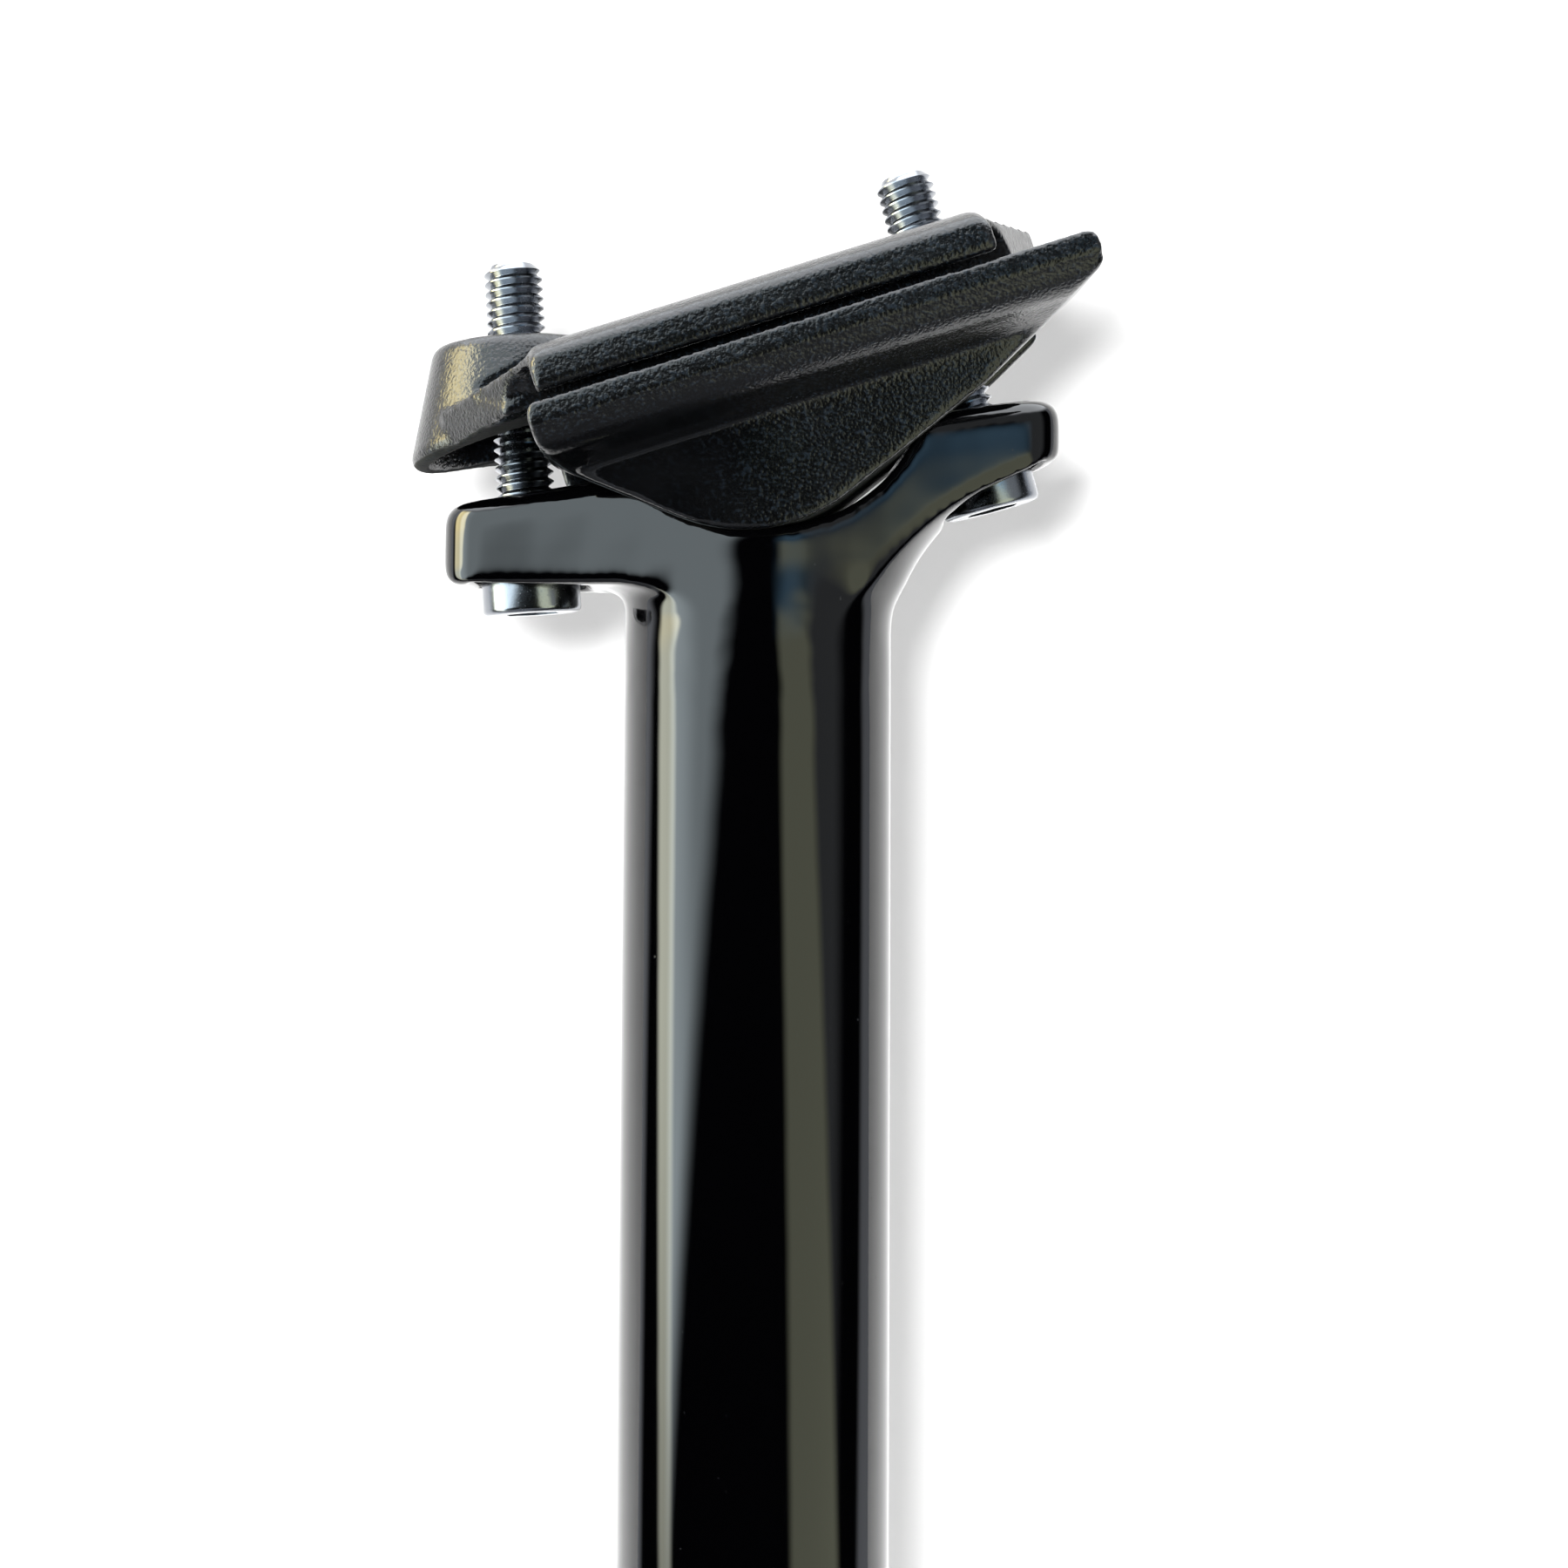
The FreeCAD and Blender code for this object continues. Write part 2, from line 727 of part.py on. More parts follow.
def make_upper_clamp():
    body = new_body("upper_clamp")
    zero = Size(0.0, "0")
    front = -size("bar_front")
    rear = size("bar_rear")
    half_bar = clamp_half - rail_half
    edge = size("bar_edge")
    crown = size("bar_crown")
    bulge = (half_bar * half_bar + (crown - edge) * (crown - edge)) / ((crown - edge) * 2)
    section = [
        (rail_half + half_bar, split_half),
        (rail_half + half_bar, edge),
        (rail_half - half_bar, edge),
        (rail_half - half_bar, split_half),
    ]
    bars = new_sketch(body, "YZ_Plane", "bar_section", front)
    draw_outline(bars, section, {1: ((rail_half, crown - bulge), bulge)})
    draw_outline(bars, mirror_y(section), {1: ((-rail_half, crown - bulge), bulge)})
    pad(body, bars, rear - front)

    def bar_end(edge):
        at_end = all(min(abs(v.X - front.value), abs(v.X - rear.value)) < NEAR for v in edge.Vertexes)
        return at_end and not isinstance(edge.Curve, Part.Line)

    round_edges(body, "bar_end_rounds", size("bar_end_round"), bar_end)

    def bar_outside(edge):
        return all(abs(abs(vertex.Y) - rail_half.value - half_bar.value) < NEAR for vertex in edge.Vertexes)

    round_edges(body, "bar_rounds", size("bar_round"), bar_outside)

    ring = new_sketch(body, "XY_Plane", "yoke_ring", split_half)
    outer = rail_half + size("yoke_overlap")
    shoulder = size("yoke_shoulder")
    corners = [
        (front, outer),
        (-size("front_shoulder"), shoulder),
        (-size("front_shoulder"), -shoulder),
        (front, -outer),
        (rear, -outer),
        (size("rear_shoulder"), -shoulder),
        (size("rear_shoulder"), shoulder),
        (rear, outer),
    ]
    draw_outline(ring, corners)
    window = size("window_half")
    corners = [
        (-size("window_front"), -window),
        (size("window_rear"), -window),
        (size("window_rear"), window),
        (-size("window_front"), window),
    ]
    draw_outline(ring, corners)
    pad(body, ring, size("yoke_depth") - split_half)

    radius = size("boss_radius")
    for name, (lean, head, nut) in BOLTS.items():
        tilt = rail_slope - lean
        slope = tangent(size(name + "_boss_draft"))
        height = size("bolt_length") * 0.5
        top = to_rails(nut)
        foot = (top[0] - height * sine(tilt), top[1] - height * cosine(tilt))
        cone(body, "Additive", name + "_boss", foot, tilt, radius + height * slope, radius, height)

    def boss_top(edge):
        curve = edge.Curve
        return isinstance(curve, Part.Circle) and abs(curve.Radius - radius.value) < NEAR

    round_edges(body, "boss_top_rounds", size("boss_top_round"), boss_top)
    below = new_sketch(body, "XZ_Plane", "parting_face")
    room = size("front_shoulder") * 2
    draw_outline(below, [(-room, -room), (room, -room), (room, split_half), (-room, split_half)])
    pocket(body, below, room * 2, both_ways=True)

    def boss_foot(edge):
        low = all(abs(vertex.Z - split_half.value) < NEAR for vertex in edge.Vertexes)
        return low and not isinstance(edge.Curve, Part.Line)

    round_edges(body, "boss_foot_rounds", size("boss_foot_round"), boss_foot)

    for name, (lean, head, nut) in BOLTS.items():
        tilt = rail_slope - lean
        slope = tangent(size(name + "_boss_draft"))
        height = size("bolt_length") * 0.5
        roof = size("boss_roof")
        top = to_rails(nut)
        foot = (top[0] - height * sine(tilt), top[1] - height * cosine(tilt))
        inner = radius + roof * slope - size("boss_wall")
        wide = radius + height * slope - size("boss_wall")
        cone(body, "Subtractive", name + "_boss_hollow", foot, tilt, wide, inner, height - roof)
        seat = new_sketch(body, "XZ_Plane", name + "_nut_seat")
        draw_circle(seat, top, size("nut_radius") + size("nut_gap"))
        pocket(body, seat, size("nut_length") + size("nut_gap") * 2, both_ways=True)
        slot = tilted_sketch(body, name + "_boss_slot", top, tilt)
        draw_slot(slot)
        pocket(body, slot, size("bolt_length"), both_ways=True)

    channels = new_sketch(body, "YZ_Plane", "bar_channels")
    draw_circle(channels, (rail_half, zero), rail_radius)
    draw_circle(channels, (-rail_half, zero), rail_radius)
    pocket(body, channels, room * 2, both_ways=True)
    place(body, zero, clamp_height, -rail_slope)
    return body


def cone(body, kind, label, foot, tilt, bottom, top, height):
    """An additive or subtractive cone on a leaning axis, with its foot at (x, z)."""
    feature = body.newObject(f"PartDesign::{kind}Cone", label)
    feature.Placement = FreeCAD.Placement(
        FreeCAD.Vector(value_of(foot[0]), 0, value_of(foot[1])),
        FreeCAD.Rotation(FreeCAD.Vector(0, 1, 0), value_of(tilt)),
    )
    feature.setExpression("Placement.Base.x", text_of(foot[0]))
    feature.setExpression("Placement.Base.z", text_of(foot[1]))
    feature.setExpression("Placement.Rotation.Angle", text_of(tilt))
    feature.setExpression("Radius1", text_of(bottom))
    feature.setExpression("Radius2", text_of(top))
    feature.setExpression("Height", text_of(height))
    return feature


def make_bolt(name, lean, head):
    body = new_body(name + "_bolt")
    zero = Size(0.0, "0")
    length = size("head_height") + size("bolt_length")
    chamfer = size("head_chamfer")
    tip = size("tip_chamfer")
    profile = new_sketch(body, "XZ_Plane", name + "_bolt_profile")
    corners = [
        (zero, zero),
        (head_radius - chamfer, zero),
        (head_radius, chamfer),
        (head_radius, size("head_height")),
        (bolt_radius, size("head_height")),
        (bolt_radius, length - tip),
        (bolt_radius - tip, length),
        (zero, length),
    ]
    draw_outline(profile, corners)
    turn(body, "Revolution", profile, "V_Axis")
    socket = new_sketch(body, "XY_Plane", name + "_key_socket")
    flat_half = size("key_size") / 2
    point = flat_half / cosine(Size(30.0, "30"))
    corners = [
        (point, zero),
        (point / 2, flat_half),
        (-point / 2, flat_half),
        (-point, zero),
        (-point / 2, -flat_half),
        (point / 2, -flat_half),
    ]
    draw_outline(socket, corners)
    pocket(body, socket, size("key_depth"), backwards=True)
    place(body, head[0], head[1], -lean)
    return body


def make_washer(name, lean, head):
    body = new_body(name + "_washer")
    zero = Size(0.0, "0")
    half = size("washer_size") / 2
    base = size("head_height")
    shoulder = pivot_height + root(washer_curve * washer_curve - half * half)
    profile = new_sketch(body, "XZ_Plane", name + "_washer_profile")
    corners = [(-half, base), (-half, shoulder), (half, shoulder), (half, base)]
    draw_outline(profile, corners, {1: ((zero, pivot_height), washer_curve)})
    pad(body, profile, size("washer_size"), both_ways=True)
    hole = new_sketch(body, "XY_Plane", name + "_washer_hole")
    draw_circle(hole, (zero, zero), bolt_radius + size("hole_play"))
    pocket(body, hole, size("bolt_length"), both_ways=True)
    place(body, head[0], head[1], -lean)
    return body


def make_nut(name, lean, nut):
    body = new_body(name + "_barrel_nut")
    zero = Size(0.0, "0")
    radius = size("nut_radius")
    sink = size("nut_sink")
    half = root(radius * radius - sink * sink)
    profile = new_sketch(body, "XZ_Plane", name + "_nut_profile")
    corners = [(half, -sink), (-half, -sink), (zero, -radius)]
    draw_outline(profile, corners, {1: ((zero, zero), radius), 2: ((zero, zero), radius)})
    pad(body, profile, size("nut_length"), both_ways=True)
    hole = new_sketch(body, "XY_Plane", name + "_nut_thread")
    draw_circle(hole, (zero, zero), bolt_radius + size("thread_play"))
    pocket(body, hole, size("bolt_length"), both_ways=True)
    place(body, nut[0], nut[1], -lean)
    return body


parts = [make_post(), make_cradle(), make_upper_clamp()]
for bolt_name, (bolt_lean, bolt_head, bolt_nut) in BOLTS.items():
    parts.append(make_bolt(bolt_name, bolt_lean, bolt_head))
    parts.append(make_washer(bolt_name, bolt_lean, bolt_head))
    parts.append(make_nut(bolt_name, bolt_lean, bolt_nut))
doc.recompute()

for item in doc.Objects:
    if "Invalid" in item.State or "Error" in item.State:
        raise RuntimeError(f"{item.Label} failed: {item.State}")
for part in parts:
    if part.Shape.isNull() or not part.Shape.isValid() or len(part.Shape.Solids) != 1:
        raise RuntimeError(f"{part.Label} is not one valid solid")

os.makedirs("parts", exist_ok=True)
for part in parts:
    part.Shape.exportStep(f"parts/{part.Label}.step")
    print(part.Label, round(part.Shape.Volume, 1))
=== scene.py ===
import json
import math

import bpy
import numpy as np
from bpy.props import FloatProperty, FloatVectorProperty, IntProperty, PointerProperty
from mathutils import Matrix, Vector

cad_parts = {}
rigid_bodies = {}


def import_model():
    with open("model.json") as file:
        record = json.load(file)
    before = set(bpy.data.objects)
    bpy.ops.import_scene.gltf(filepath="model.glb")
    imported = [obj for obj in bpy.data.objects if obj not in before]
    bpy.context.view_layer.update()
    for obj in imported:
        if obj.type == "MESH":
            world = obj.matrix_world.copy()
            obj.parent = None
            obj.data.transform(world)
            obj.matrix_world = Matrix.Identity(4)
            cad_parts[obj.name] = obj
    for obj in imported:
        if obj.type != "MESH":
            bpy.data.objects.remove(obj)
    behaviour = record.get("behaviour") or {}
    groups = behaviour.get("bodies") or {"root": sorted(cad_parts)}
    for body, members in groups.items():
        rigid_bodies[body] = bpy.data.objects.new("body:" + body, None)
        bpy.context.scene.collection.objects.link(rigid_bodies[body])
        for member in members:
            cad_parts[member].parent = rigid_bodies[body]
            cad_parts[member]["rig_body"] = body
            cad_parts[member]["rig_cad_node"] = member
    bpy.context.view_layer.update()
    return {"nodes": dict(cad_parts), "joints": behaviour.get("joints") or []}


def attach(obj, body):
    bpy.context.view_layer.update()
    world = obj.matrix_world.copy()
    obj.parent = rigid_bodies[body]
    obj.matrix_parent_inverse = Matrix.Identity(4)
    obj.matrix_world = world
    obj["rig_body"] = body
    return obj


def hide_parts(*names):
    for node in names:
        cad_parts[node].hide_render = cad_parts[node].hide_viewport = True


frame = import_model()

bl_info = {
    "name": "Bicycle seatpost",
    "version": (1, 0, 0),
    "blender": (4, 5, 0),
    "location": "View3D > Sidebar > Seatpost",
    "description": "Dresses the seatpost's solids in lacquer, textured coat and threaded steel",
    "category": "Object",
}

MM = 0.001
ENDS = ("front", "rear")
TUBE_RADIUS = 13.6 * MM
BORE_RADIUS = 11.1 * MM
# The rails' height over the tube's axis, and their rise for each metre towards the rear.
RAIL_HEIGHT = 350 * MM
RAIL_RISE = 0.325


class SeatpostSizes(bpy.types.PropertyGroup):
    """Sizes of the detail that is added to the solids."""

    thread_pitch: FloatProperty(
        name="Thread pitch", description="Rise of the bolts' thread in one turn",
        default=1.0 * MM, min=0.5 * MM, max=2.0 * MM, subtype="DISTANCE", unit="LENGTH",
    )
    thread_depth: FloatProperty(
        name="Thread depth", description="Depth of the bolts' thread from crest to root",
        default=0.58 * MM, min=0.2 * MM, max=1.0 * MM, subtype="DISTANCE", unit="LENGTH",
    )
    cast_grid: FloatProperty(
        name="Forging grid", description="Edge length of the faces on the clamp halves",
        default=0.36 * MM, min=0.2 * MM, max=1.0 * MM, subtype="DISTANCE", unit="LENGTH",
    )
    cast_rounds: IntProperty(
        name="Forging rounds", description="How often the clamp halves' edges are eased",
        default=6, min=0, max=40,
    )
    head_grid: FloatProperty(
        name="Head grid", description="Edge length of the faces on the post's head",
        default=0.32 * MM, min=0.2 * MM, max=1.0 * MM, subtype="DISTANCE", unit="LENGTH",
    )
    head_rounds: IntProperty(
        name="Head rounds", description="How often the edges of the post's head are eased",
        default=24, min=0, max=60,
    )
    seam_height: FloatProperty(
        name="Seam height", description="Height at which the turned tube meets the moulded head",
        default=0.312, min=0.1, max=0.316, subtype="DISTANCE", unit="LENGTH",
    )
    grain_size: FloatProperty(
        name="Grain size", description="Width of one grain of the clamp's textured coat",
        default=0.34 * MM, min=0.1 * MM, max=2.0 * MM, subtype="DISTANCE", unit="LENGTH",
    )


class SeatpostColours(bpy.types.PropertyGroup):
    """Colours of the seatpost's finishes and of the stage."""

    lacquer: FloatVectorProperty(
        name="Lacquer", description="Black under the gloss lacquer",
        default=(0.0004, 0.0004, 0.0006), size=3, min=0, max=1, subtype="COLOR",
    )
    coat: FloatVectorProperty(
        name="Clamp coat", description="Textured coat of both clamp halves",
        default=(0.0012, 0.0013, 0.0015), size=3, min=0, max=1, subtype="COLOR",
    )
    zinc: FloatVectorProperty(
        name="Zinc", description="Bright plating of the bolts",
        default=(0.54, 0.55, 0.57), size=3, min=0, max=1, subtype="COLOR",
    )
    steel: FloatVectorProperty(
        name="Steel", description="Plain steel of the washers and nuts",
        default=(0.55, 0.55, 0.56), size=3, min=0, max=1, subtype="COLOR",
    )
    floor: FloatVectorProperty(
        name="Floor", description="Pale floor", default=(0.85, 0.85, 0.85),
        size=3, min=0, max=1, subtype="COLOR",
    )
    wall: FloatVectorProperty(
        name="Wall", description="White wall behind the seatpost", default=(0.92, 0.92, 0.92),
        size=3, min=0, max=1, subtype="COLOR",
    )
    cream_card: FloatVectorProperty(
        name="Cream card", description="Narrow warm light at the far left",
        default=(7.9, 8.1, 6.7), size=3, min=0, max=20,
    )
    blue_card: FloatVectorProperty(
        name="Blue card", description="Wide cool light at the left",
        default=(4.3, 4.95, 5.25), size=3, min=0, max=20,
    )
    olive_card: FloatVectorProperty(
        name="Olive card", description="Dim warm light at the right",
        default=(1.52, 1.58, 1.16), size=3, min=0, max=20,
    )
    teal_card: FloatVectorProperty(
        name="Teal card", description="Dim cool light high at the right",
        default=(0.55, 1.05, 1.55), size=3, min=0, max=20,
    )
    grey_card: FloatVectorProperty(
        name="Grey card", description="Faint light beside the warm one at the right",
        default=(0.40, 0.42, 0.44), size=3, min=0, max=20,
    )
    gold_card: FloatVectorProperty(
        name="Gold card", description="Warm card above the cream one, seen in the front boss",
        default=(12.2, 10.4, 5.6), size=3, min=0, max=20,
    )
    top_card: FloatVectorProperty(
        name="Top card", description="Bright card overhead, seen in the clamp's top edges",
        default=(3.9, 4.05, 4.2), size=3, min=0, max=20,
    )
    rim_card: FloatVectorProperty(
        name="Rim card", description="White light behind, above and below the seatpost",
        default=(1.05, 1.1, 1.2), size=3, min=0, max=20,
    )


class Socket:
    """A shader socket that can be used in Python arithmetic."""

    def __init__(self, tree, output):
        self.tree = tree
        self.output = output

    def maths(self, operation, *values):
        return add_node(
            self.tree, "ShaderNodeMath", {"operation": operation}, dict(enumerate((self,) + values)),
        )

    def __add__(self, other):
        return self.maths("ADD", other)

    __radd__ = __add__

    def __sub__(self, other):
        return self.maths("SUBTRACT", other)

    def __rsub__(self, other):
        return add_node(self.tree, "ShaderNodeMath", {"operation": "SUBTRACT"}, {0: other, 1: self})

    def __mul__(self, other):
        return self.maths("MULTIPLY", other)

    __rmul__ = __mul__

    def __truediv__(self, other):
        return self.maths("DIVIDE", other)

    def step(self, low, high):
        """0 below low and 1 above high, with a soft change between."""
        return add_node(
            self.tree, "ShaderNodeMapRange", {"interpolation_type": "SMOOTHSTEP"},
            {"Value": self, "From Min": low, "From Max": high}, "Result",
        )


def add_node(tree, kind, settings=None, inputs=None, output=0):
    """One node with its settings and its sockets' values or links; returns one output."""
    node = tree.nodes.new(kind)
    for key, value in (settings or {}).items():
        setattr(node, key, value)
    for key, value in (inputs or {}).items():
        if isinstance(value, Socket):
            tree.links.new(value.output, node.inputs[key])
        else:
            node.inputs[key].default_value = value
    return Socket(tree, node.outputs[output])


def new_material(name):
    """An empty node material, its tree and its output node."""
    material = bpy.data.materials.new(name)
    material.use_nodes = True
    tree = material.node_tree
    tree.nodes.clear()
    return material, tree, tree.nodes.new("ShaderNodeOutputMaterial")


def object_place(tree):
    return add_node(tree, "ShaderNodeTexCoord", output="Object")


def split(tree, vector):
    """The three parts of a vector, a socket each."""
    parts = add_node(tree, "ShaderNodeSeparateXYZ", {}, {0: vector}).output.node.outputs
    return [Socket(tree, part) for part in parts]


def noise(tree, place, size, detail=2.0, roughness=0.5):
    """Noise whose lumps are about size metres wide."""
    return add_node(
        tree, "ShaderNodeTexNoise", {"noise_dimensions": "3D"},
        {"Vector": place, "Scale": 1.0 / size, "Detail": detail, "Roughness": roughness}, "Fac",
    )


def bump(tree, height, strength, distance):
    """The surface's normal, tilted by a pattern of heights."""
    return add_node(
        tree, "ShaderNodeBump", {}, {"Strength": strength, "Distance": distance, "Height": height},
        "Normal",
    )


def mix_colours(tree, factor, first, second):
    node = tree.nodes.new("ShaderNodeMix")
    node.data_type = "RGBA"
    for socket, value in ((node.inputs[0], factor), (node.inputs[6], first), (node.inputs[7], second)):
        if isinstance(value, Socket):
            tree.links.new(value.output, socket)
        elif socket is node.inputs[0]:
            socket.default_value = value
        else:
            socket.default_value = (*value, 1.0)
    return Socket(tree, node.outputs[2])


def shaded(colour, share):
    return tuple(channel * share for channel in colour)


def finish_material(tree, output, inputs):
    """A Principled shader on the material's output."""
    shader = add_node(tree, "ShaderNodeBsdfPrincipled", inputs=inputs, output="BSDF")
    tree.links.new(shader.output, output.inputs["Surface"])


def lacquer_material(colours):
    """Deep gloss lacquer with dust, wiping marks and a faint haze, wavier on the moulded head."""
    material, tree, output = new_material("gloss lacquer")
    place = object_place(tree)
    haze = noise(tree, place, 14 * MM, 3.0).step(0.52, 0.75)
    wiped = add_node(
        tree, "ShaderNodeMapping", {"vector_type": "POINT"},
        {"Vector": place, "Rotation": (0.5, 0.2, 0.4), "Scale": (1.0, 1.0, 0.12)},
    )
    wiping = noise(tree, wiped, 1.1 * MM, 3.0, 0.6).step(0.45, 0.8)
    dust = noise(tree, place, 0.5 * MM, 0.0).step(0.86, 0.90)
    height = split(tree, place)[2]
    moulded = height.step(311 * MM, 319 * MM)
    neck = moulded * (1.0 - height.step(325 * MM, 331 * MM))
    wave = noise(tree, place, 9 * MM, 1.0) * (0.25 + moulded * 0.8)
    wave = wave + noise(tree, place, 5 * MM, 1.0) * (neck * 0.9)
    finish_material(tree, output, {
        "Base Color": mix_colours(tree, dust * 0.4, colours.lacquer, (0.02, 0.021, 0.024)),
        "Roughness": 0.045 + haze * 0.02 + wiping * 0.014 + dust * 0.2,
        "Normal": bump(tree, wave, 0.3, 0.3 * MM),
        "IOR": 1.5,
    })
    return material


def coat_material(colours, sizes):
    """Satin black coat with an even grain, worn smoother at the front and dull on the underside. Lighter
    bluish specks on the grain are painted highlights.
    """
    material, tree, output = new_material("textured clamp coat")
    place = object_place(tree)
    along, across, height = split(tree, place)
    below_rails = RAIL_HEIGHT - height + along * RAIL_RISE
    worn = along.step(-22 * MM, -19 * MM) * (1.0 - along.step(-8 * MM, 3 * MM))
    worn = worn * below_rails.step(3 * MM, 5 * MM)
    coarse = 1.0 - worn * 0.8
    grain = noise(tree, place, sizes.grain_size, 1.0, 0.4)
    fine = noise(tree, place, sizes.grain_size * 0.4, 1.0)
    patch = noise(tree, place, 8 * MM, 2.0).step(0.35, 0.7)
    colour = mix_colours(tree, patch, colours.coat, shaded(colours.coat, 1.6))
    # Painted highlight: lighter bluish specks on the grain stand in for the glints it catches, with fewer
    # where it is worn smoother.
    colour = mix_colours(tree, grain.step(0.52, 0.72) * coarse, colour, (0.006, 0.009, 0.013))
    upwards = split(tree, add_node(tree, "ShaderNodeNewGeometry", output="Normal"))[2]
    between_wings = 1.0 - across.maths("ABSOLUTE").step(14 * MM, 16 * MM)
    under = (0.0 - upwards).step(0.5, 0.75) * between_wings
    finish_material(tree, output, {
        "Base Color": colour,
        "Roughness": 0.19 + patch * 0.04 + grain.step(0.4, 0.7) * 0.06 * coarse - worn * 0.07 + under * 0.7,
        "Normal": bump(tree, (grain + fine * 0.2) * coarse, 0.9, 0.08 * MM),
        "IOR": 1.5,
    })
    return material


def zinc_material(colours):
    """Bright zinc plating with a faint blue cast and fine specks; the threads are painted darker as painted
    shade for the dark reflections in their flanks.
    """
    material, tree, output = new_material("bright zinc")
    place = object_place(tree)
    cloud = noise(tree, place, 3 * MM, 3.0).step(0.35, 0.7)
    specks = noise(tree, place, 0.25 * MM, 2.0, 0.6)
    threaded = split(tree, place)[2].step(313.5 * MM, 315.5 * MM)
    colour = mix_colours(tree, cloud, colours.zinc, (0.42, 0.47, 0.56))
    # Painted shade: the threads' darker colour stands in for the dark reflections in their flanks.
    colour = mix_colours(tree, threaded, colour, (0.25, 0.265, 0.29))
    colour = mix_colours(tree, specks.step(0.62, 0.8) * 0.35, colour, (0.14, 0.14, 0.15))
    finish_material(tree, output, {
        "Base Color": colour,
        "Metallic": 1.0,
        "Roughness": 0.11 + cloud * 0.06 + specks.step(0.5, 0.8) * 0.10 + threaded * 0.06,
        "Normal": bump(tree, specks, 0.25, 0.02 * MM),
    })
    return material


def steel_material(name, colours):
    """Plain steel with grinding marks."""
    material, tree, output = new_material(name)
    place = object_place(tree)
    stretched = add_node(
        tree, "ShaderNodeMapping", {"vector_type": "POINT"}, {"Vector": place, "Scale": (1.0, 8.0, 1.0)},
    )
    marks = noise(tree, stretched, 0.9 * MM, 3.0, 0.6)
    stain = noise(tree, place, 2.5 * MM, 2.0).step(0.4, 0.7)
    finish_material(tree, output, {
        "Base Color": mix_colours(tree, stain, colours.steel, shaded(colours.steel, 0.75)),
        "Metallic": 1.0,
        "Roughness": 0.24 + marks * 0.16,
        "Normal": bump(tree, marks, 0.2, 0.02 * MM),
    })
    return material


def deselect_all():
    if bpy.context.mode != "OBJECT":
        bpy.ops.object.mode_set(mode="OBJECT")
    bpy.ops.object.select_all(action="DESELECT")


def pick(piece):
    deselect_all()
    piece.hide_set(False)
    piece.select_set(True)
    bpy.context.view_layer.objects.active = piece


def edit(piece):
    """Edit mode on one piece with all of it selected."""
    pick(piece)
    bpy.ops.object.mode_set(mode="EDIT")
    bpy.ops.mesh.select_mode(type="VERT")
    bpy.ops.mesh.select_all(action="SELECT")


def done():
    bpy.ops.object.mode_set(mode="OBJECT")


def modify(piece, kind, **settings):
    """Add a modifier and apply it."""
    pick(piece)
    modifier = piece.modifiers.new(kind, kind)
    for key, value in settings.items():
        setattr(modifier, key, value)
    bpy.ops.object.modifier_apply(modifier=modifier.name)


def merged_copy(node, name):
    """A copy of a solid's mesh under a new name, with its loose triangles joined."""
    piece = frame["nodes"][node].copy()
    piece.data = frame["nodes"][node].data.copy()
    piece.name = name
    piece.data.name = name
    piece.parent = None
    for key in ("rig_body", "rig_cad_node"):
        if key in piece:
            del piece[key]
    bpy.context.scene.collection.objects.link(piece)
    piece.data.materials.clear()
    edit(piece)
    bpy.ops.mesh.remove_doubles(threshold=0.002 * MM)
    bpy.ops.mesh.normals_make_consistent(inside=False)
    done()
    return piece


def cut(piece, point, normal, fill=False, keep_below=True):
    """Cut a piece by a plane and drop the side the normal points to, or the other side."""
    edit(piece)
    bpy.ops.mesh.bisect(
        plane_co=point, plane_no=normal, use_fill=fill, threshold=0.0005 * MM,
        clear_outer=keep_below, clear_inner=not keep_below,
    )
    done()


def side_depth(x, z, outline):
    """How far the points (x, z) lie inside a closed outline, and below 0 outside it."""
    depth = np.full(x.shape, np.inf)
    inside = np.zeros(x.shape, dtype=bool)
    for (ax, az), (bx, bz) in zip(outline, outline[1:] + outline[:1]):
        run_x = bx - ax
        run_z = bz - az
        share = ((x - ax) * run_x + (z - az) * run_z) / (run_x ** 2 + run_z ** 2)
        share = np.clip(share, 0.0, 1.0)
        depth = np.minimum(depth, np.hypot(x - ax - share * run_x, z - az - share * run_z))
        if az != bz:
            crosses = (az > z) != (bz > z)
            inside ^= crosses & (x < ax + (z - az) / (bz - az) * run_x)
    return np.where(inside, depth, -depth)


def soft(share):
    """A share held between 0 and 1, with a soft start and end."""
    share = np.clip(share, 0.0, 1.0)
    return share * share * (3 - 2 * share)


def vertex_rows(piece, name):
    """The vertices' places ("co") or normals, a row each."""
    values = np.empty(len(piece.data.vertices) * 3)
    piece.data.vertices.foreach_get(name, values)
    return values.reshape(-1, 3)


def move_vertices(piece, places):
    piece.data.vertices.foreach_set("co", places.ravel())
    piece.data.update()


def press(piece, outline, depth, ease, inner):
    """Move both sides of a piece inwards by depth within an outline seen from the side, in mm.
    ease is the width of the soft border, and vertices nearer the middle than inner stay."""
    places = vertex_rows(piece, "co") / MM
    sides = np.sign(places[:, 1])
    outwards = vertex_rows(piece, "normal")[:, 1] * sides
    share = soft(side_depth(places[:, 0], places[:, 2], outline) / ease + 0.5)
    moved = (np.abs(places[:, 1]) > inner) & (outwards > 0.0)
    places[:, 1] -= sides * depth * share * np.clip(outwards * 3.0, 0.0, 1.0) * moved
    move_vertices(piece, places * MM)


